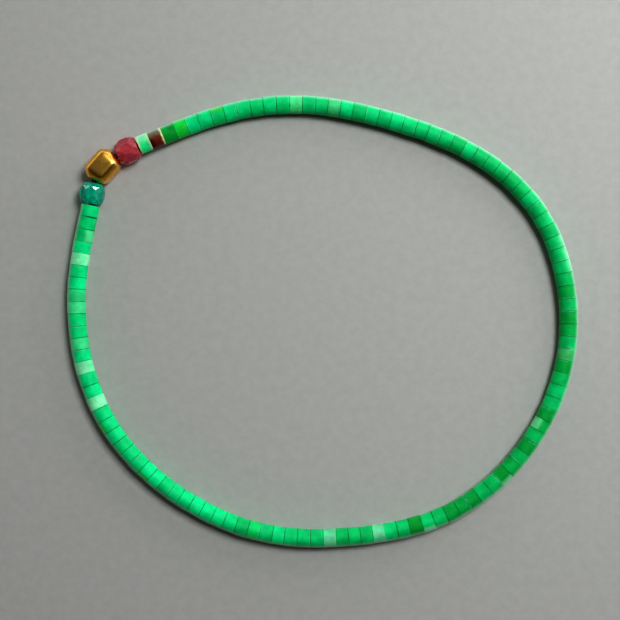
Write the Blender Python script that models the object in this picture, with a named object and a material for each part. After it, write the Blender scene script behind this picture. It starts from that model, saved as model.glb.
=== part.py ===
"""Stretch bracelet of green stone heishi beads with a red, a brass and a teal bead.

The bracelet lies on a flat surface, with X to its right, Y to its far side and Z up. The origin
is on the surface under the middle of the loop. The cord runs anticlockwise seen from above: from
the brass bead through the teal bead, round the loop of heishi beads and back through the red bead.
All sizes are in metres and all angles in degrees.
"""

import math
import random
from dataclasses import dataclass

import bpy
import numpy
from mathutils import Matrix, Vector

# Loop, over the middle of the cord
LOOP_WIDTH = 0.0590
LOOP_DEPTH = 0.0520

# Chosen points of the loop between the teal and the red bead, as shares of the half width and
# the half depth
ROUTE = (
    (-0.971, 0.401),
    (-0.995, -0.079),
    (-0.862, -0.498),
    (-0.579, -0.812),
    (-0.232, -0.980),
    (0.138, -0.992),
    (0.509, -0.888),
    (0.815, -0.600),
    (0.986, -0.177),
    (0.976, 0.236),
    (0.876, 0.506),
    (0.711, 0.701),
    (0.513, 0.832),
    (0.266, 0.930),
    (-0.031, 0.998),
    (-0.347, 0.974),
    (-0.491, 0.927),
)

# Middle of the brass bead's hole, as shares of the half width and the half depth
BRASS_PLACE = (-0.886, 0.705)

# Directions of the cord through the three larger beads, anticlockwise from X
RED_HEADING = 204.0
BRASS_HEADING = 228.0
TEAL_HEADING = 262.0

# Elastic cord and the holes that it runs through
CORD_DIAMETER = 0.0007
HOLE_CLEARANCE = 0.00012

# Free space between two beads at the inner side of the loop
BEAD_GAP = 0.00008

# Heishi bead, a short stone tube that lies on one of its flats
HEISHI_DIAMETER = 0.0022
HEISHI_LENGTH = 0.00138
HEISHI_SIDES = 12

# Heishi beads get longer along the string by this share to both sides of the mean, and each
# one differs from its neighbours by up to the second share
LENGTH_DRIFT = 0.04
LENGTH_SPREAD = 0.05
LENGTH_SEED = 11

# Beads that are larger than the heishi, by the name of their piece
LARGE_BEADS = {"brass": "brass_nugget_bead", "teal": "teal_glass_bead", "red": "red_glass_bead"}

# Places of the pale heishi beads along the run, as shares of it
PALE_PLACES = (0.0405, 0.1216, 0.1486, 0.3559, 0.3919)

# Stretch beside the larger beads over which the cord comes down to the height of the heishi
LIFT_REACH = 0.0060

# Brass nugget, a six sided block with bevelled edges whose hole lies off its middle
BRASS_LENGTH = 0.0043
BRASS_WIDTH = 0.0032
BRASS_HEIGHT = 0.0031
BRASS_EDGE_BEVEL = 0.00065
BRASS_HOLE_OFFSET = 0.00025

# Sections of the nugget from its red to its teal end, each from the outer to the inner side of
# the loop: its places along the nugget as shares of the half length, its reaches as shares of
# the half width, its rise as a share of the half height, and its cut corners as a share of the bevel
BRASS_SECTIONS = (
    # outer place, inner place, outer reach, inner reach, rise, corner
    (-1.00, -0.77, -0.40, 0.85, 0.60, 0.5),
    (-0.64, -0.58, -1.00, 1.00, 1.00, 1.0),
    (0.65, 0.51, -1.00, 1.00, 1.00, 1.0),
    (1.00, 0.76, -0.38, 0.82, 0.60, 0.5),
)

# Cut glass beads, eight sided barrels that lie on one facet
RED_LENGTH = 0.0026
RED_WIDTH = 0.00295
TEAL_LENGTH = 0.0025
TEAL_WIDTH = 0.0028
CUT_SIDES = 8

# Facet rows of a cut bead from an end to the middle: the place as a share of the half length,
# the radius as a share of the widest one, and the turn in sides
CUT_ROWS = (
    (1.00, 0.74, 0.5),
    (0.66, 0.92, 1.0),
    (0.28, 1.00, 0.5),
)

# Steps in which each stretch of the route is measured
ROUTE_STEPS = 40

# Edges sharper than this stay sharp on the round beads, in degrees
SHARP_EDGE = 40.0


@dataclass
class Slot:
    """Straight stretch of cord between two corners, and the bead that sits on it."""

    kind: str
    start: Vector
    end: Vector
    first: Vector = None
    last: Vector = None

    def axis(self):
        return (self.end - self.start).normalized()

    def middle(self):
        return (self.first + self.last) / 2


def heading(degrees):
    """Level unit vector in a direction."""
    angle = math.radians(degrees)
    return Vector((math.cos(angle), math.sin(angle), 0.0))


def on_loop(share_x, share_y):
    """Place over the surface from its shares of the half width and the half depth."""
    return Vector((share_x * LOOP_WIDTH / 2, share_y * LOOP_DEPTH / 2, 0.0))


def across(origin, axis):
    """Frame with X along a bead, Y to the left of it and Z up."""
    left = Vector((-axis.y, axis.x, 0.0)).normalized()
    up = axis.cross(left)
    turn = Matrix((axis, left, up)).transposed()
    return Matrix.Translation(origin) @ turn.to_4x4()


def polygon(sides, radius, turn=0.5, along=0.0, side=0.0, up=0.0):
    """Corners of a regular polygon across X; a turn of half a side lays one side down."""
    corners = []
    for index in range(sides):
        angle = (index + turn) * math.tau / sides
        corners.append(Vector((along, side + radius * math.cos(angle), up + radius * math.sin(angle))))
    return corners


def cut_rectangle(outer, inner, half_height, cut):
    """Corners of a rectangle with cut corners across X, in the order of an eight sided polygon."""
    return (
        (inner, half_height - cut),
        (inner - cut, half_height),
        (outer + cut, half_height),
        (outer, half_height - cut),
        (outer, cut - half_height),
        (outer + cut, -half_height),
        (inner - cut, -half_height),
        (inner, cut - half_height),
    )


def ring_mesh(name, rings):
    """Closed skin over rings with equal counts of corners, the last ring joined to the first."""
    sides = len(rings[0])
    corners = [corner for ring in rings for corner in ring]
    faces = []
    for index in range(len(rings)):
        here = index * sides
        there = (index + 1) % len(rings) * sides
        for side in range(sides):
            after = (side + 1) % sides
            a, b = here + side, here + after
            c, d = there + after, there + side
            if (corners[b] - corners[d]).length <= (corners[a] - corners[c]).length:
                faces += [(a, b, d), (b, c, d)]
            else:
                faces += [(a, b, c), (a, c, d)]
    mesh = bpy.data.meshes.new(name)
    mesh.from_pydata(corners, [], faces)
    return mesh


def end_room(face, turn):
    """Length of cord between a bead's end and the corner where the cord turns to the next one."""
    return BEAD_GAP / 2 + face * math.tan(turn / 2)


def cut_radius(width):
    """Radius at the corners of a cut bead that is this wide over its flats."""
    return width / 2 / math.cos(math.pi / CUT_SIDES)


def inner_face(kind):
    """Reach of a bead's end face from the cord, towards the inner side of the loop."""
    end_share = CUT_ROWS[0][1]
    # The brass nugget needs no room at that side, because its end faces slant back there
    return {
        "brass": 0.0,
        "red": end_share * cut_radius(RED_WIDTH),
        "teal": end_share * cut_radius(TEAL_WIDTH),
    }.get(kind, HEISHI_DIAMETER / 2)


def section_place(section, y):
    """Place along the nugget where a section crosses a line at a distance from its middle."""
    outer_place, inner_place, outer_reach, inner_reach = section[:4]
    share = (y / (BRASS_WIDTH / 2) - outer_reach) / (inner_reach - outer_reach)
    return (outer_place + (inner_place - outer_place) * share) * BRASS_LENGTH / 2


def brass_hole():
    """Places of the two ends of the nugget's hole along the nugget."""
    start = section_place(BRASS_SECTIONS[0], BRASS_HOLE_OFFSET)
    end = section_place(BRASS_SECTIONS[-1], BRASS_HOLE_OFFSET)
    return start, end


def accent_corners():
    """Corners of the cord at the ends of the red, brass and teal bead, in the cord's direction."""
    red_turn = math.radians(BRASS_HEADING - RED_HEADING)
    teal_turn = math.radians(TEAL_HEADING - BRASS_HEADING)
    brass_face = inner_face("brass")
    red_face = inner_face("red")
    teal_face = inner_face("teal")
    hole_start, hole_end = brass_hole()
    half_hole = (hole_end - hole_start) / 2
    middle = on_loop(*BRASS_PLACE)
    red_end = middle - heading(BRASS_HEADING) * (half_hole + end_room(brass_face, red_turn))
    brass_end = middle + heading(BRASS_HEADING) * (half_hole + end_room(brass_face, teal_turn))
    red_room = end_room(red_face, red_turn) + RED_LENGTH + end_room(red_face, 0.0)
    teal_room = end_room(teal_face, teal_turn) + TEAL_LENGTH + end_room(teal_face, 0.0)
    red_start = red_end - heading(RED_HEADING) * red_room
    teal_end = brass_end + heading(TEAL_HEADING) * teal_room
    # The cord falls by a quarter of the step in each glass bead and by half of it in the brass one
    red_height = RED_WIDTH / 2
    teal_height = TEAL_WIDTH / 2
    step = (teal_height - red_height) / 4
    red_start.z = red_height
    red_end.z = red_height + step
    brass_end.z = teal_height - step
    teal_end.z = teal_height
    return red_start, red_end, brass_end, teal_end


def spline_tangents(points, first, last):
    """Tangents that carry the curvature smoothly through every point, with both end ones given."""
    count = len(points)
    spans = numpy.linalg.norm(numpy.diff(points, axis=0), axis=1)
    slopes = numpy.diff(points, axis=0) / spans[:, None]
    matrix = numpy.eye(count)
    right = numpy.zeros((count, 2))
    right[0] = first
    right[-1] = last
    for index in range(1, count - 1):
        before = spans[index - 1]
        after = spans[index]
        matrix[index, index - 1 : index + 2] = (after, 2 * (before + after), before)
        right[index] = 3 * (after * slopes[index - 1] + before * slopes[index])
    return spans, numpy.linalg.solve(matrix, right)


def route_samples(start, end):
    """Dense level points on the smooth route from the teal bead to the red one."""
    points = [start.xy] + [on_loop(*shares).xy for shares in ROUTE] + [end.xy]
    points = numpy.array([tuple(point) for point in points])
    spans, tangents = spline_tangents(points, heading(TEAL_HEADING).xy, heading(RED_HEADING).xy)
    samples = [points[0]]
    for index, span in enumerate(spans):
        for step in range(1, ROUTE_STEPS + 1):
            t = step / ROUTE_STEPS
            samples.append(
                (1 + 2 * t) * (1 - t) ** 2 * points[index]
                + t * (1 - t) ** 2 * span * tangents[index]
                + t * t * (3 - 2 * t) * points[index + 1]
                + t * t * (t - 1) * span * tangents[index + 1]
            )
    return numpy.array(samples)


def bead_shares(count):
    """Places of the ends of the heishi beads along the run, as shares of its length."""
    spread = random.Random(LENGTH_SEED)
    lengths = []
    for index in range(count):
        drift = LENGTH_DRIFT * (2 * (index + 0.5) / count - 1)
        lengths.append(1 + drift + spread.uniform(-LENGTH_SPREAD, LENGTH_SPREAD))
    ends = numpy.concatenate(([0.0], numpy.cumsum(lengths)))
    return ends / ends[-1]


def heishi_height():
    """Height of the cord in a heishi bead that lies on its flat."""
    return HEISHI_DIAMETER / 2 * math.cos(math.pi / HEISHI_SIDES)


def cord_height(from_teal, from_red):
    """Height of the cord at two distances along it from the larger beads."""
    height = heishi_height()
    for distance, lifted in ((from_teal, TEAL_WIDTH / 2), (from_red, RED_WIDTH / 2)):
        if distance < LIFT_REACH:
            fade = (1 + math.cos(math.pi * distance / LIFT_REACH)) / 2
            height += (lifted - heishi_height()) * fade
    return height


def heishi_corners(start, end):
    """Corners of the cord between the heishi beads, from the teal bead to the red one."""
    samples = route_samples(start, end)
    steps = numpy.linalg.norm(numpy.diff(samples, axis=0), axis=1)
    lengths = numpy.concatenate(([0.0], numpy.cumsum(steps)))
    whole = lengths[-1]
    turned = math.radians(360.0 + RED_HEADING - TEAL_HEADING)
    inner_length = whole - HEISHI_DIAMETER / 2 * turned
    count = round(inner_length / (HEISHI_LENGTH + BEAD_GAP))
    corners = []
    for share in bead_shares(count):
        length = share * whole
        x = numpy.interp(length, lengths, samples[:, 0])
        y = numpy.interp(length, lengths, samples[:, 1])
        corners.append(Vector((x, y, cord_height(length, whole - length))))
    return corners


def heishi_kinds(count):
    """Kind of each heishi bead from the teal bead to the red one."""
    kinds = ["green"] * count
    for share in PALE_PLACES:
        kinds[int(share * count)] = "pale"
    kinds[-2] = "jasper"
    kinds[-1] = "mint"
    return kinds


def strung_slots():
    """All beads on the cord in order, each with the places of its two ends."""
    red_start, red_end, brass_end, teal_end = accent_corners()
    corners = heishi_corners(teal_end, red_start)
    slots = [
        Slot("brass", red_end, brass_end),
        Slot("teal", brass_end, teal_end),
    ]
    for index, kind in enumerate(heishi_kinds(len(corners) - 1)):
        slots.append(Slot(kind, corners[index], corners[index + 1]))
    slots.append(Slot("red", red_start, red_end))
    for index, slot in enumerate(slots):
        before = slots[index - 1].axis()
        after = slots[(index + 1) % len(slots)].axis()
        axis = slot.axis()
        face = inner_face(slot.kind)
        slot.first = slot.start + axis * end_room(face, before.angle(axis))
        slot.last = slot.end - axis * end_room(face, axis.angle(after))
    return slots


def string_rings(slots):
    """Rings of the cord with the green beads: each is a raised stretch between two cord rings."""
    rings = []
    for index, slot in enumerate(slots):
        axis = slot.axis()
        mean_axis = (slots[index - 1].axis() + axis).normalized()
        root = across(slot.start, mean_axis)
        rings.append([root @ corner for corner in polygon(HEISHI_SIDES, CORD_DIAMETER / 2)])
        if slot.kind == "green":
            for end in (slot.first, slot.last):
                rim = across(end, axis)
                rings.append([rim @ corner for corner in polygon(HEISHI_SIDES, HEISHI_DIAMETER / 2)])
    return rings


def tube_rings(slot):
    """Rings of a loose heishi bead: two outside, then two in its hole."""
    half = (slot.last - slot.first).length / 2
    bore = CORD_DIAMETER / 2 + HOLE_CLEARANCE
    return [
        polygon(HEISHI_SIDES, HEISHI_DIAMETER / 2, along=-half),
        polygon(HEISHI_SIDES, HEISHI_DIAMETER / 2, along=half),
        polygon(HEISHI_SIDES, bore, along=half),
        polygon(HEISHI_SIDES, bore, along=-half),
    ]


def accent_bore(slot):
    """Radius of a larger bead's hole, with room for the slope of the cord in it."""
    return CORD_DIAMETER / 2 + HOLE_CLEARANCE + abs(slot.end.z - slot.start.z) / 2


def cut_bead_rings(slot, length, width):
    """Rings of a cut glass bead that lies on a facet: its facet rows, then its hole."""
    lift = width / 2 - slot.middle().z
    radius = cut_radius(width)
    rings = []
    for place, size, turn in CUT_ROWS:
        rings.append(polygon(CUT_SIDES, size * radius, turn, -place * length / 2, up=lift))
    for place, size, turn in reversed(CUT_ROWS):
        rings.append(polygon(CUT_SIDES, size * radius, turn, place * length / 2, up=lift))
    rings.append(polygon(CUT_SIDES, accent_bore(slot), along=length / 2))
    rings.append(polygon(CUT_SIDES, accent_bore(slot), along=-length / 2))
    return rings


def brass_rings(slot):
    """Rings of the brass nugget: its four sections from end to end, then its hole."""
    lift = BRASS_HEIGHT / 2 - slot.middle().z
    middle = sum(brass_hole()) / 2
    rings = []
    for section in BRASS_SECTIONS:
        outer, inner = (reach * BRASS_WIDTH / 2 for reach in section[2:4])
        outline = cut_rectangle(outer, inner, section[4] * BRASS_HEIGHT / 2, section[5] * BRASS_EDGE_BEVEL)
        ring = []
        for y, z in outline:
            ring.append(Vector((section_place(section, y) - middle, y - BRASS_HOLE_OFFSET, z + lift)))
        rings.append(ring)
    for section in (BRASS_SECTIONS[-1], BRASS_SECTIONS[0]):
        ring = polygon(CUT_SIDES, accent_bore(slot))
        for corner in ring:
            corner.x = section_place(section, corner.y + BRASS_HOLE_OFFSET) - middle
        rings.append(ring)
    return rings


def finish(name, colour, roughness, metallic=0.0):
    """Material with the colour of a piece."""
    material = bpy.data.materials.new(name)
    material.use_nodes = True
    shader = material.node_tree.nodes["Principled BSDF"]
    shader.inputs["Base Color"].default_value = (*colour, 1.0)
    shader.inputs["Roughness"].default_value = roughness
    shader.inputs["Metallic"].default_value = metallic
    return material


def add_piece(name, mesh, material, root, frame=None, smooth=False):
    """Object of one piece, placed by its frame under the root."""
    mesh.materials.append(material)
    if smooth:
        mesh.shade_smooth()
        mesh.set_sharp_from_angle(angle=math.radians(SHARP_EDGE))
    piece = bpy.data.objects.new(name, mesh)
    bpy.context.collection.objects.link(piece)
    piece.parent = root
    if frame:
        piece.matrix_local = frame
    return piece


def loose_rings(slot):
    """Rings of a bead that is a piece of its own."""
    if slot.kind == "brass":
        return brass_rings(slot)
    if slot.kind == "red":
        return cut_bead_rings(slot, RED_LENGTH, RED_WIDTH)
    if slot.kind == "teal":
        return cut_bead_rings(slot, TEAL_LENGTH, TEAL_WIDTH)
    return tube_rings(slot)


def loose_frame(slot):
    """Frame of a loose bead: a larger one lies level, a heishi bead follows the cord."""
    axis = slot.axis()
    if slot.kind in LARGE_BEADS:
        axis = Vector((axis.x, axis.y, 0.0)).normalized()
    return across(slot.middle(), axis)


def build():
    """The whole bracelet."""
    for old in list(bpy.data.objects):
        bpy.data.objects.remove(old)

    finishes = {
        "green": finish("green_stone", (0.012, 0.42, 0.10), 0.36),
        "pale": finish("pale_stone", (0.20, 0.66, 0.33), 0.42),
        "mint": finish("mint_stone", (0.14, 0.68, 0.25), 0.34),
        "jasper": finish("jasper_stone", (0.10, 0.028, 0.010), 0.45),
        "brass": finish("brass", (0.80, 0.46, 0.12), 0.24, metallic=1.0),
        "red": finish("red_glass", (0.42, 0.012, 0.022), 0.12),
        "teal": finish("teal_glass", (0.004, 0.16, 0.11), 0.08),
    }

    slots = strung_slots()
    rings = string_rings(slots)
    reach = numpy.array([tuple(corner) for ring in rings for corner in ring])
    middle = (reach.min(axis=0) + reach.max(axis=0)) / 2

    root = bpy.data.objects.new("bracelet", None)
    bpy.context.collection.objects.link(root)
    root.location = (-middle[0], -middle[1], 0.0)

    string = ring_mesh("green_heishi_string", rings)
    add_piece("green_heishi_string", string, finishes["green"], root, smooth=True)
    pale_count = 0
    for slot in slots:
        if slot.kind == "green":
            continue
        name = LARGE_BEADS.get(slot.kind, slot.kind + "_heishi")
        if slot.kind == "pale":
            pale_count += 1
            name += f"_{pale_count}"
        mesh = ring_mesh(name, loose_rings(slot))
        smooth = slot.kind not in LARGE_BEADS
        add_piece(name, mesh, finishes[slot.kind], root, loose_frame(slot), smooth)


build()
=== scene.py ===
"""Looks of a stretch bracelet of green stone heishi beads with a red, a brass and a teal bead.

All sizes are in metres. A bead's own frame has X along it, anticlockwise round the loop seen from
above, Y to the inner side of the loop and Z up. Heishi beads are numbered from the teal bead on.
"""

import math
import random

import bmesh
import bpy
import numpy
from mathutils import Euler, Matrix, Vector


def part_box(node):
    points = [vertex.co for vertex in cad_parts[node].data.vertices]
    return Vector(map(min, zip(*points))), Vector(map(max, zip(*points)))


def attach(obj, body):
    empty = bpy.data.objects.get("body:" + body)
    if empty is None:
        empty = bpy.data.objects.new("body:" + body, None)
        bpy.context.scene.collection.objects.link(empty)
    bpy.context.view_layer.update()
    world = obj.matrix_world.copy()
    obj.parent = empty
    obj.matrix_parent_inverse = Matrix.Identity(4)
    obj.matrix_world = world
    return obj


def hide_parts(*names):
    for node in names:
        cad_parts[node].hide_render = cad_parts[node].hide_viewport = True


bl_info = {
    "name": "Heishi Bracelet",
    "version": (1, 0, 0),
    "blender": (4, 5, 0),
    "location": "View3D > Sidebar > Bracelet",
    "description": "Dresses a packed bracelet with stone, brass and glass beads",
    "category": "Object",
}

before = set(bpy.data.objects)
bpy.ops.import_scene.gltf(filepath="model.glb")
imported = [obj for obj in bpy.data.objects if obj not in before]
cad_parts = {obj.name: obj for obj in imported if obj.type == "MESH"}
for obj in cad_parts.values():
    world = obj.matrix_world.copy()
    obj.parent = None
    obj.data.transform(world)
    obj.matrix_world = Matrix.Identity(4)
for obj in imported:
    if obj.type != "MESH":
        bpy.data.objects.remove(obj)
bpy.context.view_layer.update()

STRING = "green_heishi_string"
PALE_NODES = tuple(sorted(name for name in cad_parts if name.startswith("pale_heishi")))
LOOSE_NODES = PALE_NODES + ("mint_heishi", "jasper_heishi")

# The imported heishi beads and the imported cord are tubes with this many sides. Corners nearer than
# the merge distance are one, and a side's length may stray from the true one by the tolerance.
PACKED_SIDES = 12
MERGE_DISTANCE = 1e-7
SIDE_TOLERANCE = 0.02

# Metres to a pixel of the photograph, its width in pixels and the pixel over the loop's middle
PHOTO_PIXEL = 0.00012
PHOTO_SIZE = 620
PHOTO_MIDDLE = (322.75, 321.4)

# Marks on single green beads: the side that shows the mark, and how pale and how leafy it is.
# A side is -1 for the outer half, 1 for the inner half and 0 for the whole bead. The dark beads
# have the deepest tone.
BEAD_MARKS = {
    3: (1, 0.35, 0.0),
    8: (0, 0.12, 0.0),
    9: (0, 0.25, 0.0),
    12: (0, 0.20, 0.0),
    19: (-1, 0.0, 0.7),
    24: (-1, 0.0, 0.7),
    34: (0, 0.0, 0.25),
    48: (-1, 0.55, 0.0),
    55: (-1, 0.50, 0.0),
    60: (1, 0.45, 0.0),
    66: (0, 0.20, 0.0),
    73: (-1, 0.30, 0.0),
    74: (-1, 0.35, 0.0),
    75: (-1, 0.25, 0.0),
    96: (0, 0.22, 0.0),
    99: (0, 0.30, 0.15),
    105: (-1, 0.10, 0.6),
    108: (0, 0.0, 0.7),
}
DARK_BEADS = (47, 109)

# Tones of the green beads, as shares from the deep to the light green, at a few beads; those in
# between follow evenly. Then how far a bead's tone and girth stray, the tones between which a pale
# bead turns from its deep to its light colour, and the seeds kept for the pieces of one setting.
TONE_BEADS = (1, 28, 42, 60, 75, 90, 111)
TONES = (0.60, 0.72, 0.32, 0.15, 0.30, 0.53, 0.50)
TONE_SPREAD = 0.23
GIRTH_SPREAD = 0.012
PALE_TONES = (0.25, 0.65)
PIECE_SEEDS = 1000

# Ends of a green bead that may have a thin pale rim, where 0 is a bead without one. A band gives the
# places on a bead between which a colour fades in, from -1 to 1 along it or to its inner side, and a
# share says how far it does. A noise breaks the rim, down to its least share.
RIM_ENDS = (-1, 0, 0, 1)
RIM_BAND = (0.80, 0.90)
RIM_SHARE = 0.6
RIM_BREAKS = (0.38, 0.60)
RIM_LEAST = 0.25
# The seam band and share paint shade into a green bead's ends where it meets the next bead, and make a
# pale bead's ends greener.
SEAM_BAND = (0.92, 0.98)
SEAM_SHARE = 0.7
MARK_BAND = (0.10, 0.55)

# Painted sheen: a highlight painted pale on the edges where the stone turns away from the eye, and how it
# fades from the bead's outer side to its inner one
PAINTED_SHEEN_BAND = (0.20, 0.72)
PAINTED_SHEEN_SHARE = 0.44
PAINTED_SHEEN_SIDE = (0.40, -0.40)
PAINTED_SHEEN_INNER = 0.1

# Bands and shares of the colours on the pale, the mint and the red-brown beads, and how far the
# border between two of them strays
PALE_CLOUD_BAND = (0.35, 0.75)
PALE_CLOUD_SHARE = 0.45
MINT_SIDE = (0.30, -0.40)
MINT_SHARE = 0.75
CREAM_BAND = (0.68, 0.92)
JASPER_DARK_BAND = (0.1, 0.9)
OLIVE_SIDE = (0.15, -0.60)
OLIVE_SHARE = 0.85
JASPER_RIM_BAND = (-0.60, -0.90)
BORDER_WAVES = 0.12

# Bands that hold most of a noise's values, the shades that clouds and grain give to a colour, and
# the mean of a noise
NOISE_BAND = (0.3, 0.7)
WIDE_BAND = (0.25, 0.75)
CLOUD_SHADES = (0.86, 1.12)
GRAIN_SHADES = (0.93, 1.06)
NOISE_MEAN = 0.5

# Scales of the noises, as one over the width of their features in metres
CLOUD_SCALE = 900.0
GRAIN_SCALE = 9000.0
SCRATCH_SCALE = 14000.0
RIM_NOISE_SCALE = 1600.0
PALE_CLOUD_SCALE = 1100.0
CORD_STRAND_SCALE = 5000.0
STAIN_SCALE = 700.0
BRASS_DENT_SCALE = 1500.0
STREAK_SCALE = 1500.0
UNEVEN_SCALE = 700.0
FLOOR_GRAIN_SCALE = 900.0

# Step from one seed to the next in the noise that makes the beads uneven
SEED_STEP = 13.7

# Surfaces: depths of relief in metres, least and greatest roughness, and other settings of shaders
SCRATCH_DEPTH = 0.000006
STONE_BUMP = 0.5
STONE_ROUGHNESS = (0.45, 0.58)
STONE_SPECULAR = 0.14
STONE_SHEEN = 0.3
SHEEN_ROUGHNESS = 0.3
CORD_STRAND_DEPTH = 0.00001
CORD_ROUGHNESS = (0.35, 0.6)
BRASS_ROUGHNESS = (0.26, 0.36)
BRASS_DENT_DEPTH = 0.00003
BRASS_BUMP = 0.25
STAIN_BAND = (0.42, 0.68)
STAIN_SHARE = 0.35
GLASS_ROUGHNESS = 0.025
GLASS_IOR = 1.52
GLASS_CLEARNESS = {"red_glass": 0.62, "teal_glass": 0.72}
STREAK_SHADE = 0.75
FLOOR_ROUGHNESS = 0.8
FLOOR_SPECULAR = 0.2
FLOOR_DARK_SHARE = 0.93

# Steps round a heishi bead's worn edge, the flat strip beside it as a share of the edge's radius,
# and the faces round the cord
EDGE_STEPS = 3
SUPPORT_SHARE = 0.4
CORD_SIDES = 14

# Rounded edges of the larger beads: the brass is worn round in passes over even small faces. Faces
# of a packed bead that differ by less than the flat angle are one.
BRASS_FACE = 0.00006
BRASS_WEAR = 0.5
BRASS_WEAR_PASSES = 160
GLASS_EDGE = 0.00004
GLASS_EDGE_STEPS = 2
FLAT_ANGLE = math.radians(0.5)
BEVEL_ANGLE = math.radians(12.0)

# Floor, lamps and surroundings. A direction points from the bracelet to its light. The key lamp is
# high and the side lamp low, both at the upper right. The surroundings turn from warm to cool where
# their share along the sky direction passes through SKY_SIDES. They darken as they rise through
# SKY_BAND, and are darkest overhead.
FLOOR_WIDTH = 3.0
KEY_DIRECTION = (0.47, 0.46, 1.15)
KEY_SIZE = 0.09
KEY_DISTANCE = 0.25
SIDE_DIRECTION = (0.78, 0.54, 0.36)
SIDE_SIZE = 0.06
SIDE_DISTANCE = 0.14
SKY_DIRECTION = (0.10, 0.995, 0.0)
SKY_SIDES = (-0.6, 0.8)
SKY_STRENGTH = 1.1
FILL_STRENGTH = 0.13
SKY_BAND = (0.20, 0.50)
ZENITH_STRENGTH = 0.17

# Small lamps that flash in two facets of the teal bead: direction from the bead and power in watts
SPARKLES = (((0.49, 0.76, 0.43), 0.02), ((-0.61, 0.78, 0.18), 0.003))
SPARKLE_SIZE = 0.02
SPARKLE_DISTANCE = 0.40

# Width of the camera's sensor in millimetres, and the nearest it sees as a share of its height
SENSOR_WIDTH = 36.0
CLIP_SHARE = 0.01

# Sockets of the colour mix node
MIX_SHARE = 0
MIX_FIRST = 6
MIX_SECOND = 7
MIX_RESULT = 2


def colour(name, default, description):
    """Property for a colour."""
    return bpy.props.FloatVectorProperty(
        name=name, description=description, default=default, size=3, min=0.0, max=1.0, subtype="COLOR"
    )


def length(name, default, description):
    """Property for a length in metres."""
    return bpy.props.FloatProperty(
        name=name, description=description, default=default, min=0.0, unit="LENGTH", precision=6
    )


class BRACELET_PG_heishi(bpy.types.PropertyGroup):
    """Sizes of the heishi beads and the cord."""

    bore: length("Bore", 0.00094, "Diameter of the hole through a heishi bead")
    edge_round: length("Edge Round", 0.000025, "Radius of a heishi bead's worn edge")
    cord: length("Cord", 0.0007, "Diameter of the elastic cord")
    gap: length("Gap", 0.000012, "Space left between two beads that sit tight on the cord")
    unevenness: length("Unevenness", 0.000016, "How far the ground stone strays from a true tube")
    shift: length("Shift", 0.000025, "How far a bead sits beside its place on the cord")
    tilt: bpy.props.FloatProperty(
        name="Tilt", description="Most that a bead leans", default=math.radians(0.2), subtype="ANGLE"
    )
    wedge: bpy.props.FloatProperty(
        name="Wedge",
        description="Share of the turn to the next bead that the ends follow",
        default=1.0,
        subtype="FACTOR",
    )
    sides: bpy.props.IntProperty(
        name="Sides", description="Faces round a heishi bead", default=28, min=12, max=64
    )
    seed: bpy.props.IntProperty(name="Seed", description="Start of the random draws", default=7)


class BRACELET_PG_colours(bpy.types.PropertyGroup):
    """Colours of stone, brass, glass and cord."""

    green_deep: colour("Deep Green", (0.0, 0.31, 0.045), "Darkest ordinary green bead")
    green_light: colour("Light Green", (0.0, 0.80, 0.31), "Lightest ordinary green bead")
    leaf: colour("Leaf Green", (0.02, 0.55, 0.01), "Yellower green of a few beads")
    rim: colour("Rim Green", (0.14, 0.74, 0.40), "Pale line where the stone is ground thin")
    # Painted sheen: pale highlight colour painted on the stone's edges that turn away from the eye
    painted_sheen: colour("Satin", (0.72, 0.86, 0.78), "Pale sheen of the ground stone, seen on its edges")
    # Colour of the shade painted into the seams between beads; the cord's darker strands take it too
    seam: colour("Seam", (0.0, 0.10, 0.015), "Dark dust in the seams between beads")
    pale: colour("Pale Green", (0.33, 0.85, 0.46), "Pale beads and patches")
    pale_deep: colour("Deep Pale Green", (0.19, 0.52, 0.29), "Pale beads of a low tone")
    mint: colour("Mint", (0.03, 0.72, 0.25), "Middle of the mint bead")
    cream: colour("Cream", (0.66, 0.62, 0.34), "Rims of the mint and the red-brown bead")
    jasper: colour("Jasper", (0.15, 0.022, 0.010), "Most of the red-brown bead")
    jasper_dark: colour("Dark Jasper", (0.05, 0.004, 0.002), "Red-brown end beside the mint bead")
    jasper_olive: colour("Jasper Olive", (0.20, 0.19, 0.10), "Outer part of the red-brown bead")
    brass: colour("Brass", (1.0, 0.56, 0.13), "Polished brass")
    brass_worn: colour("Worn Brass", (0.62, 0.25, 0.02), "Dulled stains on the brass")
    red: colour("Red Glass", (1.0, 0.16, 0.20), "Crimson glass")
    teal: colour("Teal Glass", (0.0, 0.90, 0.60), "Teal glass")
    cord: colour("Cord", (0.03, 0.045, 0.035), "Elastic cord")


class BRACELET_PG_stage(bpy.types.PropertyGroup):
    """Floor, light and camera."""

    floor: colour("Floor", (0.46, 0.415, 0.39), "Plain pale floor")
    key: colour("Key Light", (0.86, 0.97, 1.0), "Cool light of the lamps and the bright horizon")
    fill: colour("Fill Light", (1.0, 0.88, 0.70), "Warm dim light opposite the bright horizon")
    key_power: bpy.props.FloatProperty(
        name="Key Power", description="Power of the high lamp in watts", default=0.42, unit="POWER"
    )
    side_power: bpy.props.FloatProperty(
        name="Side Power", description="Power of the low lamp in watts", default=0.03, unit="POWER"
    )
    lens: bpy.props.FloatProperty(
        name="Lens", description="Focal length in millimetres", default=60.0, unit="CAMERA"
    )


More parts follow.
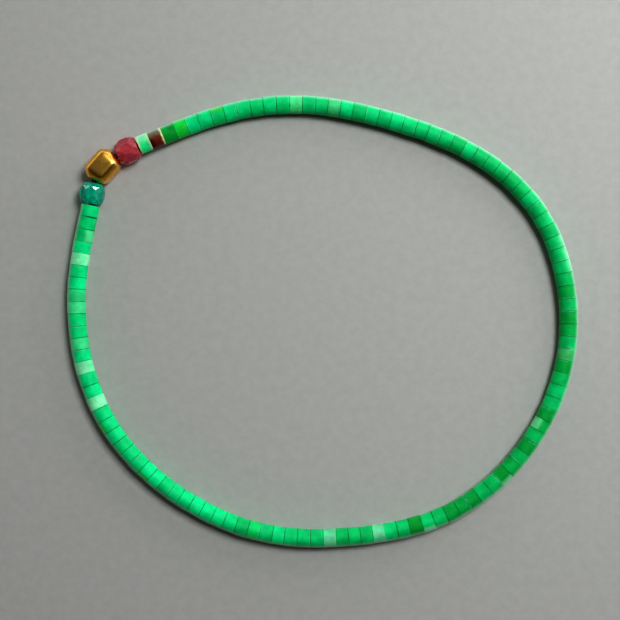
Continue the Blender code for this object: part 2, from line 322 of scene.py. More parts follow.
def rings_in(node, radius):
    """Rings of a packed tube with this radius, each as a list of its corners."""
    mesh = bmesh.new()
    mesh.from_mesh(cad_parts[node].data)
    bmesh.ops.remove_doubles(mesh, verts=mesh.verts, dist=MERGE_DISTANCE)
    side = 2 * radius * math.sin(math.pi / PACKED_SIDES)
    near = {corner: [] for corner in mesh.verts}
    for edge in mesh.edges:
        if abs(edge.calc_length() - side) < SIDE_TOLERANCE * side:
            first, second = edge.verts
            near[first].append(second)
            near[second].append(first)
    rings = []
    seen = set()
    for corner in mesh.verts:
        if corner in seen:
            continue
        ring = [corner]
        seen.add(corner)
        for member in ring:
            for other in near[member]:
                if other not in seen:
                    seen.add(other)
                    ring.append(other)
        if len(ring) == PACKED_SIDES:
            rings.append([member.co.copy() for member in ring])
    mesh.free()
    return rings


def middle_of(points):
    """Mean of a list of points."""
    return sum(points, Vector()) / len(points)


def round_the_loop(point):
    """Angle of a point round the loop, anticlockwise from the brass bead."""
    low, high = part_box("brass_nugget_bead")
    start = math.atan2(low.y + high.y, low.x + high.x)
    return (math.atan2(point.y, point.x) - start) % math.tau


def heishi_radius():
    """Radius of a heishi bead, from the height of a packed one that lies on a flat side."""
    low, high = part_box(PALE_NODES[0])
    return (high.z - low.z) / 2 / math.cos(math.pi / PACKED_SIDES)


def strung_heishi():
    """All heishi beads from the teal bead on: each one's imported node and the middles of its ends."""
    rims = []
    for node in (STRING,) + LOOSE_NODES:
        rims += [(node, middle_of(ring)) for ring in rings_in(node, heishi_radius())]
    rims.sort(key=lambda rim: round_the_loop(rim[1]))
    beads = []
    for (node, first), (other, last) in zip(rims[0::2], rims[1::2]):
        if node != other:
            raise RuntimeError(f"the ends of a heishi bead of {node} and of {other} are mixed up")
        beads.append((node, first, last))
    return beads


def bead_frame(first, last):
    """Turn of a bead's own frame, from the middles of its two ends."""
    axis = (last - first).normalized()
    left = Vector((-axis.y, axis.x, 0.0)).normalized()
    return Matrix((axis, left, axis.cross(left))).transposed()


def add_node(tree, kind, inputs=(), **settings):
    """New node with its settings and inputs, where an input is a value or another node's output."""
    node = tree.nodes.new(kind)
    for key, value in settings.items():
        setattr(node, key, value)
    for key, value in dict(inputs).items():
        if isinstance(value, bpy.types.NodeSocket):
            tree.links.new(value, node.inputs[key])
        else:
            node.inputs[key].default_value = value
    return node


def opaque(rgb):
    """Colour with full alpha."""
    return (*rgb, 1.0)


class Finish:
    """Material that is painted in steps on one Principled shader."""

    def __init__(self, name):
        self.material = bpy.data.materials.new(name)
        self.material.use_nodes = True
        self.tree = self.material.node_tree
        self.shader = self.tree.nodes["Principled BSDF"]

    def place(self):
        """Object coordinates."""
        return add_node(self.tree, "ShaderNodeTexCoord").outputs["Object"]

    def attribute(self, name, output="Fac"):
        """Value of a named attribute of the mesh."""
        return add_node(self.tree, "ShaderNodeAttribute", attribute_name=name).outputs[output]

    def parts(self, vector):
        """The three parts of a vector."""
        return add_node(self.tree, "ShaderNodeSeparateXYZ", {"Vector": vector}).outputs

    def noise(self, scale, detail=2.0, roughness=0.5):
        """Soft noise with features of about one over the scale in metres."""
        inputs = {"Vector": self.place(), "Scale": scale, "Detail": detail, "Roughness": roughness}
        return add_node(self.tree, "ShaderNodeTexNoise", inputs).outputs["Fac"]

    def maths(self, operation, first, second=0.0):
        """Result of a sum on two values."""
        return add_node(self.tree, "ShaderNodeMath", {0: first, 1: second}, operation=operation).outputs[0]

    def ramp(self, value, low, high, out_low=0.0, out_high=1.0):
        """Smooth step of a value from low to high."""
        inputs = {"Value": value, "From Min": low, "From Max": high, "To Min": out_low, "To Max": out_high}
        node = add_node(self.tree, "ShaderNodeMapRange", inputs, interpolation_type="SMOOTHSTEP")
        return node.outputs["Result"]

    def mix(self, share, first, second, blend="MIX"):
        """Mix of two colours by a share."""
        node = add_node(self.tree, "ShaderNodeMix", data_type="RGBA", blend_type=blend)
        for index, value in ((MIX_SHARE, share), (MIX_FIRST, first), (MIX_SECOND, second)):
            if isinstance(value, bpy.types.NodeSocket):
                self.tree.links.new(value, node.inputs[index])
            elif index == MIX_SHARE:
                node.inputs[index].default_value = value
            else:
                node.inputs[index].default_value = opaque(value)
        return node.outputs[MIX_RESULT]

    def grey(self, value):
        """Grey colour of a value."""
        parts = {"Red": value, "Green": value, "Blue": value}
        return add_node(self.tree, "ShaderNodeCombineColor", parts).outputs["Color"]

    def bump(self, height, distance, strength=1.0):
        """Small relief, given by a height from 0 to 1 and its depth in metres."""
        inputs = {"Height": height, "Distance": distance, "Strength": strength}
        node = add_node(self.tree, "ShaderNodeBump", inputs)
        self.tree.links.new(node.outputs["Normal"], self.shader.inputs["Normal"])

    def set(self, **values):
        """Values or links on the shader, with underscores for the spaces in a socket's name."""
        for key, value in values.items():
            socket = self.shader.inputs[key.replace("_", " ")]
            if isinstance(value, bpy.types.NodeSocket):
                self.tree.links.new(value, socket)
            else:
                socket.default_value = value


def stone_grain(finish, base, colours):
    """Cloudy and fine grain of ground stone over a base colour, a sheen painted pale on its edges, and its
    relief of fine scratches.
    """
    clouds = finish.ramp(finish.noise(CLOUD_SCALE, detail=3.0), *NOISE_BAND, *CLOUD_SHADES)
    grain = finish.ramp(finish.noise(GRAIN_SCALE, detail=1.0), *WIDE_BAND, *GRAIN_SHADES)
    shade = finish.maths("MULTIPLY", clouds, grain)
    grained = finish.mix(1.0, base, finish.grey(shade), blend="MULTIPLY")
    # Painted sheen: the colour turns pale where the stone faces away from the eye, most on the bead's
    # outer side
    facing = add_node(finish.tree, "ShaderNodeLayerWeight").outputs["Facing"]
    side = finish.ramp(on_bead(finish, "Y"), *PAINTED_SHEEN_SIDE, PAINTED_SHEEN_INNER, 1.0)
    painted_sheen = finish.maths("MULTIPLY", finish.ramp(facing, *PAINTED_SHEEN_BAND, 0.0, PAINTED_SHEEN_SHARE), side)
    finish.bump(finish.noise(SCRATCH_SCALE, detail=3.0), SCRATCH_DEPTH, STONE_BUMP)
    finish.set(
        Base_Color=finish.mix(painted_sheen, grained, colours.painted_sheen),
        Roughness=finish.ramp(finish.noise(CLOUD_SCALE), *NOISE_BAND, *STONE_ROUGHNESS),
        Specular_IOR_Level=STONE_SPECULAR,
        Sheen_Weight=STONE_SHEEN,
        Sheen_Roughness=SHEEN_ROUGHNESS,
    )


def on_bead(finish, axis):
    """Place on a bead from -1 to 1: along it for the axis X, and to its inner side for Y."""
    return finish.parts(finish.attribute("bead_place", "Vector"))[axis]


def half_mask(finish, side):
    """Share of a mark that shows on a half of a bead, or on all of it where the side is 0."""
    inwards = finish.maths("MULTIPLY", on_bead(finish, "Y"), side)
    whole = finish.maths("SUBTRACT", 1.0, finish.maths("ABSOLUTE", side))
    return finish.ramp(finish.maths("ADD", inwards, whole), *MARK_BAND)


def green_stone(colours):
    """Green stone with a tone for each bead, pale and leafy marks, thin pale rims and shade painted into
    its seams.
    """
    finish = Finish("green_stone_look")
    along = on_bead(finish, "X")
    base = finish.mix(finish.attribute("tone"), colours.green_deep, colours.green_light)
    mark = finish.parts(finish.attribute("mark", "Vector"))
    shown = half_mask(finish, mark["X"])
    base = finish.mix(finish.maths("MULTIPLY", shown, mark["Y"]), base, colours.pale)
    base = finish.mix(finish.maths("MULTIPLY", shown, mark["Z"]), base, colours.leaf)
    broken = finish.ramp(finish.noise(RIM_NOISE_SCALE), *RIM_BREAKS, RIM_LEAST, 1.0)
    rim = finish.ramp(finish.maths("MULTIPLY", along, finish.attribute("rim")), *RIM_BAND)
    rim = finish.maths("MULTIPLY", rim, RIM_SHARE)
    base = finish.mix(finish.maths("MULTIPLY", rim, broken), base, colours.rim)
    # Painted shade: each bead's ends darken towards the seam shade colour
    seam = finish.ramp(finish.maths("ABSOLUTE", along), *SEAM_BAND)
    base = finish.mix(finish.maths("MULTIPLY", seam, SEAM_SHARE), base, colours.seam)
    stone_grain(finish, base, colours)
    return finish.material


def pale_stone(colours):
    """Pale green stone, deeper for a low tone, and greener in clouds and at its ends."""
    finish = Finish("pale_stone_look")
    light = finish.ramp(finish.attribute("tone"), *PALE_TONES)
    base = finish.mix(light, colours.pale_deep, colours.pale)
    clouds = finish.ramp(finish.noise(PALE_CLOUD_SCALE), *PALE_CLOUD_BAND, 0.0, PALE_CLOUD_SHARE)
    base = finish.mix(clouds, base, colours.green_light)
    ends = finish.ramp(finish.maths("ABSOLUTE", on_bead(finish, "X")), *SEAM_BAND)
    base = finish.mix(finish.maths("MULTIPLY", ends, SEAM_SHARE), base, colours.green_light)
    stone_grain(finish, base, colours)
    return finish.material


def mint_stone(colours):
    """Mint green stone with a pale outer part and a cream rim at both ends."""
    finish = Finish("mint_stone_look")
    outer = finish.ramp(on_bead(finish, "Y"), *MINT_SIDE, 0.0, MINT_SHARE)
    base = finish.mix(outer, colours.mint, colours.pale)
    waves = finish.ramp(finish.noise(RIM_NOISE_SCALE), *WIDE_BAND, -BORDER_WAVES, BORDER_WAVES)
    wavy = finish.maths("ADD", finish.maths("ABSOLUTE", on_bead(finish, "X")), waves)
    base = finish.mix(finish.ramp(wavy, *CREAM_BAND), base, colours.cream)
    stone_grain(finish, base, colours)
    return finish.material


def jasper_stone(colours):
    """Red-brown stone, darker beside the mint bead, olive at its outer side, cream at its other end."""
    finish = Finish("jasper_stone_look")
    along = on_bead(finish, "X")
    waves = finish.ramp(finish.noise(PALE_CLOUD_SCALE), *NOISE_BAND, -BORDER_WAVES, BORDER_WAVES)
    base = finish.mix(finish.ramp(along, *JASPER_DARK_BAND), colours.jasper, colours.jasper_dark)
    side = finish.maths("ADD", on_bead(finish, "Y"), waves)
    base = finish.mix(finish.ramp(side, *OLIVE_SIDE, 0.0, OLIVE_SHARE), base, colours.jasper_olive)
    start = finish.ramp(finish.maths("ADD", along, waves), *JASPER_RIM_BAND)
    base = finish.mix(start, base, colours.cream)
    stone_grain(finish, base, colours)
    return finish.material


def cord_finish(colours):
    """Dark elastic, slightly ribbed by its strands."""
    finish = Finish("elastic_cord_look")
    strands = finish.noise(CORD_STRAND_SCALE, detail=1.0)
    finish.set(Base_Color=finish.mix(finish.ramp(strands, *NOISE_BAND), colours.cord, colours.seam))
    finish.set(Roughness=finish.ramp(strands, *NOISE_BAND, *CORD_ROUGHNESS))
    finish.bump(strands, CORD_STRAND_DEPTH)
    return finish.material


def brass_finish(colours):
    """Polished brass, dulled in patches and slightly dented."""
    finish = Finish("brass_look")
    stains = finish.ramp(finish.noise(STAIN_SCALE, detail=4.0), *STAIN_BAND)
    base = finish.mix(finish.maths("MULTIPLY", stains, STAIN_SHARE), colours.brass, colours.brass_worn)
    finish.set(Base_Color=base, Metallic=1.0)
    finish.set(Roughness=finish.ramp(stains, 0.0, 1.0, *BRASS_ROUGHNESS))
    finish.bump(finish.noise(BRASS_DENT_SCALE), BRASS_DENT_DEPTH, BRASS_BUMP)
    return finish.material


def glass_finish(name, tint, clearness):
    """Clear coloured glass with faint streaks."""
    finish = Finish(name)
    streaks = finish.ramp(finish.noise(STREAK_SCALE), *NOISE_BAND, STREAK_SHADE, 1.0)
    base = finish.mix(1.0, tint, finish.grey(streaks), blend="MULTIPLY")
    finish.set(Base_Color=base, Roughness=GLASS_ROUGHNESS)
    finish.set(IOR=GLASS_IOR, Transmission_Weight=clearness)
    return finish.material


def tube_profile(half, radius, hole, edge_round):
    """Outline of a heishi bead's wall, from its hole out: places along it, distances from its axis."""
    support = edge_round * SUPPORT_SHARE
    end = [(-half, hole), (-half, radius - edge_round - support)]
    for step in range(EDGE_STEPS + 1):
        angle = math.pi / 2 * step / EDGE_STEPS
        x = -half + edge_round * (1 - math.cos(angle))
        end.append((x, radius - edge_round + edge_round * math.sin(angle)))
    end.append((-half + edge_round + support, radius))
    return end + [(-x, reach) for x, reach in reversed(end)]


def heishi_mesh(half, sizes):
    """Mesh of one heishi bead about the origin, with each point's place on the bead."""
    radius = heishi_radius()
    profile = tube_profile(half, radius, sizes.bore / 2, sizes.edge_round)
    corners = []
    for index in range(sizes.sides):
        angle = index * math.tau / sizes.sides
        for x, reach in profile:
            corners.append((x, reach * math.cos(angle), reach * math.sin(angle)))
    faces = []
    count = len(profile)
    for index in range(sizes.sides):
        here = index * count
        there = (index + 1) % sizes.sides * count
        for step in range(count):
            after = (step + 1) % count
            faces.append((here + step, here + after, there + after, there + step))
    mesh = bpy.data.meshes.new("heishi_bead")
    mesh.from_pydata(corners, [], faces)
    turn_outwards(mesh)
    mesh.shade_smooth()
    shares = numpy.array(corners) / (half, radius, radius)
    attribute = mesh.attributes.new("bead_place", "FLOAT_VECTOR", "POINT")
    attribute.data.foreach_set("vector", shares.astype(numpy.float32).ravel())
    return mesh


def turn_outwards(mesh):
    """Recalculates a closed mesh's normals so that its faces point out."""
    form = bmesh.new()
    form.from_mesh(mesh)
    bmesh.ops.recalc_face_normals(form, faces=form.faces)
    form.to_mesh(mesh)
    form.free()


def point_value(tree, name):
    """Vector that each point carries under a name."""
    named = {"Name": name}
    node = add_node(tree, "GeometryNodeInputNamedAttribute", named, data_type="FLOAT_VECTOR")
    return node.outputs["Attribute"]


def new_tree(name, **inputs):
    """Geometry Nodes tree with these inputs beside its geometry, and what its input node gives."""
    tree = bpy.data.node_groups.new(name, "GeometryNodeTree")
    tree.interface.new_socket("Geometry", in_out="INPUT", socket_type="NodeSocketGeometry")
    for label, kind in inputs.items():
        tree.interface.new_socket(label, in_out="INPUT", socket_type=kind)
    tree.interface.new_socket("Geometry", in_out="OUTPUT", socket_type="NodeSocketGeometry")
    return tree, add_node(tree, "NodeGroupInput").outputs


def uneven_stone(tree, geometry, seed, unevenness):
    """The same geometry, moved a little by a soft noise so that it strays from a true tube."""
    place = add_node(tree, "GeometryNodeInputPosition").outputs["Position"]
    draw = add_node(tree, "ShaderNodeMath", {0: seed, 1: SEED_STEP}, operation="MULTIPLY").outputs[0]
    field = {"Vector": place, "W": draw, "Scale": UNEVEN_SCALE, "Detail": 1.0}
    noise = add_node(tree, "ShaderNodeTexNoise", field, noise_dimensions="4D")
    spread = {0: noise.outputs["Color"], 1: (NOISE_MEAN,) * 3}
    centred = add_node(tree, "ShaderNodeVectorMath", spread, operation="SUBTRACT")
    strays = {0: centred.outputs[0], "Scale": unevenness}
    offset = add_node(tree, "ShaderNodeVectorMath", strays, operation="SCALE")
    moved = {"Geometry": geometry, "Offset": offset.outputs[0]}
    return add_node(tree, "GeometryNodeSetPosition", moved).outputs["Geometry"]


def wedge_ends(tree, geometry):
    """The same geometry, with the ends of the beads slanted to meet where the cord turns."""
    parts = add_node(tree, "ShaderNodeSeparateXYZ", {"Vector": point_value(tree, "bead_place")})
    across = {0: parts.outputs["X"], 1: parts.outputs["Y"]}
    both = add_node(tree, "ShaderNodeMath", across, operation="MULTIPLY")
    slant = {0: point_value(tree, "lean"), "Scale": both.outputs[0]}
    offset = add_node(tree, "ShaderNodeVectorMath", slant, operation="SCALE")
    moved = {"Geometry": geometry, "Offset": offset.outputs[0]}
    return add_node(tree, "GeometryNodeSetPosition", moved).outputs["Geometry"]


def strung_tree(material):
    """Geometry Nodes tree that strings a bead on each point, with its own size, turn and marks."""
    inputs = {"Bead": "NodeSocketObject", "Unevenness": "NodeSocketFloat", "Seed": "NodeSocketInt"}
    tree, given = new_tree("strung_beads", **inputs)
    bead = add_node(tree, "GeometryNodeObjectInfo", {"Object": given["Bead"]})
    turned = add_node(tree, "FunctionNodeEulerToRotation", {"Euler": point_value(tree, "turn")})
    placing = {
        "Points": given["Geometry"],
        "Instance": bead.outputs["Geometry"],
        "Rotation": turned.outputs["Rotation"],
        "Scale": point_value(tree, "size"),
    }
    strung = add_node(tree, "GeometryNodeInstanceOnPoints", placing)
    real = add_node(tree, "GeometryNodeRealizeInstances", {"Geometry": strung.outputs["Instances"]})
    uneven = uneven_stone(tree, real.outputs["Geometry"], given["Seed"], given["Unevenness"])
    dressed = {"Geometry": wedge_ends(tree, uneven), "Material": material}
    made = add_node(tree, "GeometryNodeSetMaterial", dressed)
    add_node(tree, "NodeGroupOutput", {"Geometry": made.outputs["Geometry"]})
    return tree


def give_inputs(modifier, **values):
    """Sets a Geometry Nodes modifier's inputs by their names in the tree."""
    for item in modifier.node_group.interface.items_tree:
        if item.in_out == "INPUT" and item.name in values:
            modifier[item.identifier] = values[item.name]


def plain_piece(maker, name):
    """Plain mesh object with the shape that another object's modifiers give; the other one goes."""
    bpy.context.view_layer.update()
    graph = bpy.context.evaluated_depsgraph_get()
    mesh = bpy.data.meshes.new_from_object(maker.evaluated_get(graph), depsgraph=graph)
    mesh.name = name
    bpy.data.objects.remove(maker)
    piece = bpy.data.objects.new(name, mesh)
    bpy.context.scene.collection.objects.link(piece)
    return piece


def half_turn(beads, number):
    """Half the angle by which the cord turns at a bead: a quarter of that between its neighbours."""
    before = beads[max(number - 2, 0)]
    after = beads[min(number, len(beads) - 1)]
    between = (before[2] - before[1]).angle(after[2] - after[1])
    return between / 4


def tight_ends(strung, number, gap):
    """Middles of a bead's two ends, moved out until only a gap is left to the beads beside it."""
    first, last = strung[number - 1][1:]
    if number > 1:
        before = strung[number - 2][2]
        first = (before + first) / 2 + (first - before).normalized() * gap / 2
    if number < len(strung):
        after = strung[number][1]
        last = (last + after) / 2 - (after - last).normalized() * gap / 2
    return first, last


def bead_points(name, strung, beads, half, sizes):
    """Mesh with a point for each bead, which carries its turn, size, lean, tone, rim and mark."""
    draws = random.Random(sizes.seed * PIECE_SEEDS + beads[0][0])
    radius = heishi_radius()
    lift = radius * (1 - math.cos(math.pi / PACKED_SIDES))
    places, turns, scales, tones, rims, marks, leans = [], [], [], [], [], [], []
    for number, first, last in beads:
        tilt = Euler([draws.uniform(-1, 1) * sizes.tilt * share for share in (0, 1, 1)])
        turn = bead_frame(first, last) @ tilt.to_matrix()
        girth = 1 + draws.uniform(-GIRTH_SPREAD, GIRTH_SPREAD)
        aside = bead_frame(first, last) @ Vector((0, draws.uniform(-1, 1) * sizes.shift, 0))
        rise = radius * (girth - 1) + lift + sizes.unevenness / 2
        places.append((first + last) / 2 + aside + Vector((0, 0, rise)))
        turns.append(tuple(turn.to_euler()))
        scales.append(((last - first).length / 2 / half, girth, girth))
        reach = radius * sizes.wedge * math.tan(half_turn(strung, number))
        leans.append((first - last).normalized() * reach)
        tone = numpy.interp(number, TONE_BEADS, TONES) + draws.triangular(-TONE_SPREAD, TONE_SPREAD, 0)
        tones.append(0.0 if number in DARK_BEADS else max(0.0, min(1.0, tone)))
        rims.append(draws.choice(RIM_ENDS))
        marks.append(BEAD_MARKS.get(number, (0, 0.0, 0.0)))
    points = bpy.data.meshes.new(name + "_places")
    points.from_pydata(places, [], [])
    for label, kind, values in (
        ("turn", "FLOAT_VECTOR", turns),
        ("size", "FLOAT_VECTOR", scales),
        ("mark", "FLOAT_VECTOR", marks),
        ("lean", "FLOAT_VECTOR", leans),
        ("tone", "FLOAT", tones),
        ("rim", "FLOAT", rims),
    ):
        attribute = points.attributes.new(label, kind, "POINT")
        field = "vector" if kind == "FLOAT_VECTOR" else "value"
        attribute.data.foreach_set(field, numpy.array(values, numpy.float32).ravel())
    return points


def string_beads(name, numbers, sizes, material):
    """One piece of the heishi beads with these numbers."""
    strung = strung_heishi()
    beads = [(number, *tight_ends(strung, number, sizes.gap)) for number in numbers]
    half = sum((last - first).length for number, first, last in beads) / len(beads) / 2
    maker = bpy.data.objects.new(name + "_maker", bead_points(name, strung, beads, half, sizes))
    bead = bpy.data.objects.new(name + "_bead", heishi_mesh(half, sizes))
    for made in (maker, bead):
        bpy.context.scene.collection.objects.link(made)
    modifier = maker.modifiers.new("Strung beads", "NODES")
    modifier.node_group = strung_tree(material)
    give_inputs(modifier, Bead=bead, Unevenness=sizes.unevenness, Seed=sizes.seed)
    piece = plain_piece(maker, name)
    bpy.data.objects.remove(bead)
    return piece


def cord_tree():
    """Geometry Nodes tree that makes a closed cord of its width along its points."""
    inputs = {"Width": "NodeSocketFloat", "Sides": "NodeSocketInt", "Material": "NodeSocketMaterial"}
    tree, given = new_tree("elastic_cord", **inputs)
    line = add_node(tree, "GeometryNodeMeshToCurve", {"Mesh": given["Geometry"]})
    radius = add_node(tree, "ShaderNodeMath", {0: given["Width"], 1: 2.0}, operation="DIVIDE")
    section = {"Resolution": given["Sides"], "Radius": radius.outputs[0]}
    ring = add_node(tree, "GeometryNodeCurvePrimitiveCircle", section)
    swept = {"Curve": line.outputs["Curve"], "Profile Curve": ring.outputs["Curve"]}
    tube = add_node(tree, "GeometryNodeCurveToMesh", swept)
    smooth = add_node(tree, "GeometryNodeSetShadeSmooth", {"Geometry": tube.outputs["Mesh"]})
    real = add_node(tree, "GeometryNodeRealizeInstances", {"Geometry": smooth.outputs["Geometry"]})
    dressed = {"Geometry": real.outputs["Geometry"], "Material": given["Material"]}
    made = add_node(tree, "GeometryNodeSetMaterial", dressed)
    add_node(tree, "NodeGroupOutput", {"Geometry": made.outputs["Geometry"]})
    return tree


def packed_copy(node, name, material):
    """Object with a packed bead's form, its corners merged and its flat faces whole."""
    form = bmesh.new()
    form.from_mesh(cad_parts[node].data)
    bmesh.ops.remove_doubles(form, verts=form.verts, dist=MERGE_DISTANCE)
    bmesh.ops.dissolve_limit(form, angle_limit=FLAT_ANGLE, verts=form.verts, edges=form.edges)
    mesh = bpy.data.meshes.new(name)
    form.to_mesh(mesh)
    form.free()
    mesh.materials.clear()
    mesh.materials.append(material)
    maker = bpy.data.objects.new(name + "_maker", mesh)
    bpy.context.scene.collection.objects.link(maker)
    return maker


class BRACELET_OT_green_beads(bpy.types.Operator):
    """Strings the ordinary green heishi beads."""

    bl_idname = "bracelet.green_beads"
    bl_label = "Green Heishi Beads"

    def execute(self, context):
        scene = context.scene
        numbers = [number for number, bead in enumerate(strung_heishi(), 1) if bead[0] == STRING]
        material = green_stone(scene.bracelet_colours)
        piece = string_beads("green_beads", numbers, scene.bracelet_heishi, material)
        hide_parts(STRING)
        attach(piece, "root")
        return {"FINISHED"}


class BRACELET_OT_loose_beads(bpy.types.Operator):
    """Makes the pale, mint and red-brown heishi beads, each one a piece of its own."""

    bl_idname = "bracelet.loose_beads"
    bl_label = "Pale and Coloured Heishi Beads"

    def execute(self, context):
        scene = context.scene
        colours = scene.bracelet_colours
        pale = pale_stone(colours)
        finishes = {"mint_heishi": mint_stone(colours), "jasper_heishi": jasper_stone(colours)}
        for number, bead in enumerate(strung_heishi(), 1):
            node = bead[0]
            if node == STRING:
                continue
            material = finishes.get(node, pale)
            piece = string_beads(node + "_bead", [number], scene.bracelet_heishi, material)
            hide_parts(node)
            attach(piece, "root")
        return {"FINISHED"}


class BRACELET_OT_cord(bpy.types.Operator):
    """Runs the elastic cord through all the beads."""

    bl_idname = "bracelet.cord"
    bl_label = "Elastic Cord"

    def execute(self, context):
        sizes = context.scene.bracelet_heishi
        middles = [middle_of(ring) for ring in rings_in(STRING, sizes.cord / 2)]
        middles.sort(key=round_the_loop)
        count = len(middles)
        points = bpy.data.meshes.new("cord_places")
        points.from_pydata(middles, [(index, (index + 1) % count) for index in range(count)], [])
        maker = bpy.data.objects.new("cord_maker", points)
        context.scene.collection.objects.link(maker)
        modifier = maker.modifiers.new("Elastic cord", "NODES")
        modifier.node_group = cord_tree()
        material = cord_finish(context.scene.bracelet_colours)
        give_inputs(modifier, Width=sizes.cord, Sides=CORD_SIDES, Material=material)
        piece = plain_piece(maker, "elastic_cord")
        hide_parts(STRING)
        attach(piece, "root")
        return {"FINISHED"}


class BRACELET_OT_brass(bpy.types.Operator):
    """Rounds and polishes the brass nugget."""

    bl_idname = "bracelet.brass"
    bl_label = "Brass Nugget"

    def execute(self, context):
        material = brass_finish(context.scene.bracelet_colours)
        node = "brass_nugget_bead"
        maker = packed_copy(node, "brass_nugget", material)
        faces = maker.modifiers.new("Even Faces", "REMESH")
        faces.mode = "VOXEL"
        faces.voxel_size = BRASS_FACE
        wear = maker.modifiers.new("Worn Edges", "SMOOTH")
        wear.factor = BRASS_WEAR
        wear.iterations = BRASS_WEAR_PASSES
        piece = plain_piece(maker, "brass_nugget")
        piece.data.shade_smooth()
        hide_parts(node)
        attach(piece, "root")
        return {"FINISHED"}


class BRACELET_OT_glass(bpy.types.Operator):
    """Cuts the crimson and the teal glass bead."""

    bl_idname = "bracelet.glass"
    bl_label = "Cut Glass Beads"

    def execute(self, context):
        colours = context.scene.bracelet_colours
        for node, tint in (("red_glass_bead", colours.red), ("teal_glass_bead", colours.teal)):
            slot = node.replace("_bead", "")
            material = glass_finish(slot + "_look", tint, GLASS_CLEARNESS[slot])
            maker = packed_copy(node, slot + "_cut", material)
            edges = maker.modifiers.new("Worn Edges", "BEVEL")
            edges.limit_method = "ANGLE"
            edges.angle_limit = BEVEL_ANGLE
            edges.width = GLASS_EDGE
            edges.segments = GLASS_EDGE_STEPS
            piece = plain_piece(maker, slot + "_cut")
            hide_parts(node)
            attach(piece, "root")
        return {"FINISHED"}


class BRACELET_OT_stage(bpy.types.Operator):
    """Sets the plain floor, the lamps, the soft surroundings and the camera."""

    bl_idname = "bracelet.stage"
    bl_label = "Floor, Light and Camera"

    def execute(self, context):
        scene = context.scene
        stage = scene.bracelet_stage
        lay_floor(stage)
        light_world(stage)
        for name, power, direction, distance, size in (
            ("key_light", stage.key_power, KEY_DIRECTION, KEY_DISTANCE, KEY_SIZE),
            ("side_light", stage.side_power, SIDE_DIRECTION, SIDE_DISTANCE, SIDE_SIZE),
        ):
            place = Vector(direction).normalized() * distance
            hang_light(name, stage.key, power, place, size, Vector())
        low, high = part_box("teal_glass_bead")
        bead = (low + high) / 2
        for direction, power in SPARKLES:
            place = bead + Vector(direction).normalized() * SPARKLE_DISTANCE
            hang_light("sparkle_light", stage.key, power, place, SPARKLE_SIZE, bead)
        point_camera(scene, stage)
        scene.view_settings.view_transform = "Standard"
        scene.view_settings.look = "High Contrast"
        return {"FINISHED"}


def lay_floor(stage):
    """Plain pale floor under the bracelet."""
    half = FLOOR_WIDTH / 2
    mesh = bpy.data.meshes.new("floor")
    corners = [(-half, -half, 0), (half, -half, 0), (half, half, 0), (-half, half, 0)]
    mesh.from_pydata(corners, [], [(0, 1, 2, 3)])
    finish = Finish("floor_look")
    mottle = finish.ramp(finish.noise(FLOOR_GRAIN_SCALE, detail=4.0, roughness=0.65), *NOISE_BAND)
    dark = tuple(part * FLOOR_DARK_SHARE for part in stage.floor)
    finish.set(Base_Color=finish.mix(mottle, dark, stage.floor))
    finish.set(Roughness=FLOOR_ROUGHNESS, Specular_IOR_Level=FLOOR_SPECULAR)
    mesh.materials.append(finish.material)
    floor = bpy.data.objects.new("floor", mesh)
    bpy.context.scene.collection.objects.link(floor)


def light_world(stage):
    """Soft surroundings: cool and bright past the photo's top, warm and dim opposite, dark overhead."""
    world = bpy.data.worlds.new("studio")
    bpy.context.scene.world = world
    world.use_nodes = True
    tree = world.node_tree
    shader = tree.nodes["Background"]
    view = add_node(tree, "ShaderNodeTexCoord").outputs["Generated"]
    against = {0: view, 1: SKY_DIRECTION}
    toward = add_node(tree, "ShaderNodeVectorMath", against, operation="DOT_PRODUCT")
    sides = {"Value": toward.outputs["Value"], "From Min": SKY_SIDES[0], "From Max": SKY_SIDES[1]}
    share = add_node(tree, "ShaderNodeMapRange", sides, interpolation_type="SMOOTHSTEP")
    tint = add_node(tree, "ShaderNodeMix", data_type="RGBA")
    tree.links.new(share.outputs["Result"], tint.inputs[MIX_SHARE])
    tint.inputs[MIX_FIRST].default_value = opaque([part * FILL_STRENGTH for part in stage.fill])
    tint.inputs[MIX_SECOND].default_value = opaque([part * SKY_STRENGTH for part in stage.key])
    band = {
        "Value": add_node(tree, "ShaderNodeSeparateXYZ", {"Vector": view}).outputs["Z"],
        "From Min": SKY_BAND[0],
        "From Max": SKY_BAND[1],
        "To Min": 1.0,
        "To Max": ZENITH_STRENGTH,
    }
    overhead = add_node(tree, "ShaderNodeMapRange", band, interpolation_type="SMOOTHSTEP")
    tree.links.new(tint.outputs[MIX_RESULT], shader.inputs["Color"])
    tree.links.new(overhead.outputs["Result"], shader.inputs["Strength"])


def hang_light(name, tint, power, place, size, aim):
    """Square soft light that shines from a place at an aim."""
    data = bpy.data.lights.new(name, "AREA")
    data.shape = "SQUARE"
    data.size = size
    data.energy = power
    data.color = tint
    lamp = bpy.data.objects.new(name, data)
    bpy.context.scene.collection.objects.link(lamp)
    turn = (place - aim).to_track_quat("Z", "Y").to_matrix().to_4x4()
    lamp.matrix_world = Matrix.Translation(place) @ turn


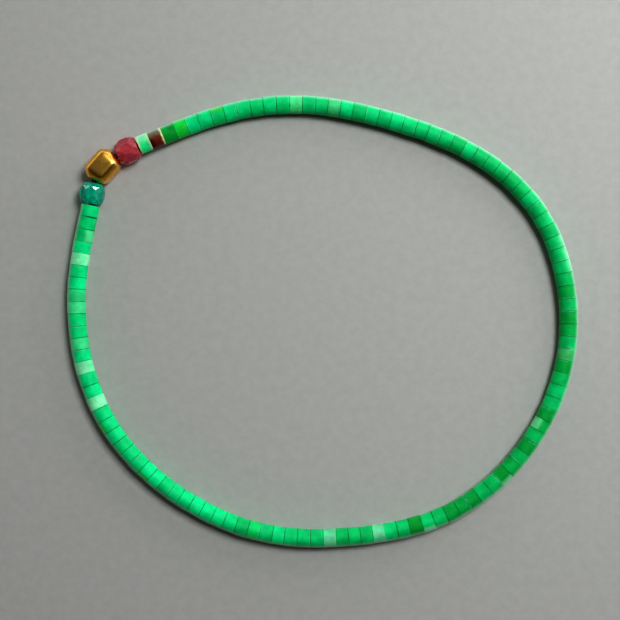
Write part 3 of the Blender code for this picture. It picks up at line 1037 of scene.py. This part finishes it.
def point_camera(scene, stage):
    """Camera straight above, framed as the photograph."""
    data = bpy.data.cameras.new("camera")
    data.lens = stage.lens
    data.sensor_width = SENSOR_WIDTH
    width = PHOTO_SIZE * PHOTO_PIXEL
    low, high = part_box(STRING)
    height = width * stage.lens / SENSOR_WIDTH + (low.z + high.z) / 2
    centre_x = (PHOTO_SIZE / 2 - PHOTO_MIDDLE[0]) * PHOTO_PIXEL
    centre_y = (PHOTO_MIDDLE[1] - PHOTO_SIZE / 2) * PHOTO_PIXEL
    data.clip_start = height * CLIP_SHARE
    camera = bpy.data.objects.new("camera", data)
    scene.collection.objects.link(camera)
    camera.location = (centre_x, centre_y, height)
    scene.camera = camera


class BRACELET_PT_panel(bpy.types.Panel):
    """Lists the pieces of the bracelet and their settings."""

    bl_label = "Bracelet"
    bl_idname = "BRACELET_PT_panel"
    bl_space_type = "VIEW_3D"
    bl_region_type = "UI"
    bl_category = "Bracelet"

    def draw(self, context):
        for settings in SETTINGS:
            box = self.layout.box()
            owner = getattr(context.scene, settings)
            for key in owner.bl_rna.properties.keys():
                if key not in ("rna_type", "name"):
                    box.prop(owner, key)
        for operator in OPERATORS:
            self.layout.operator(operator.bl_idname)


SETTINGS = {
    "bracelet_heishi": BRACELET_PG_heishi,
    "bracelet_colours": BRACELET_PG_colours,
    "bracelet_stage": BRACELET_PG_stage,
}
OPERATORS = (
    BRACELET_OT_green_beads,
    BRACELET_OT_loose_beads,
    BRACELET_OT_cord,
    BRACELET_OT_brass,
    BRACELET_OT_glass,
    BRACELET_OT_stage,
)
CLASSES = (*SETTINGS.values(), *OPERATORS, BRACELET_PT_panel)


def register():
    for each in CLASSES:
        bpy.utils.register_class(each)
    for name, group in SETTINGS.items():
        setattr(bpy.types.Scene, name, bpy.props.PointerProperty(type=group))


def unregister():
    for name in SETTINGS:
        delattr(bpy.types.Scene, name)
    for each in reversed(CLASSES):
        bpy.utils.unregister_class(each)


def main():
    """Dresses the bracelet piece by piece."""
    register()
    bpy.ops.bracelet.green_beads()
    bpy.ops.bracelet.loose_beads()
    bpy.ops.bracelet.cord()
    bpy.ops.bracelet.brass()
    bpy.ops.bracelet.glass()
    bpy.ops.bracelet.stage()


if __name__ == "__main__":
    main()
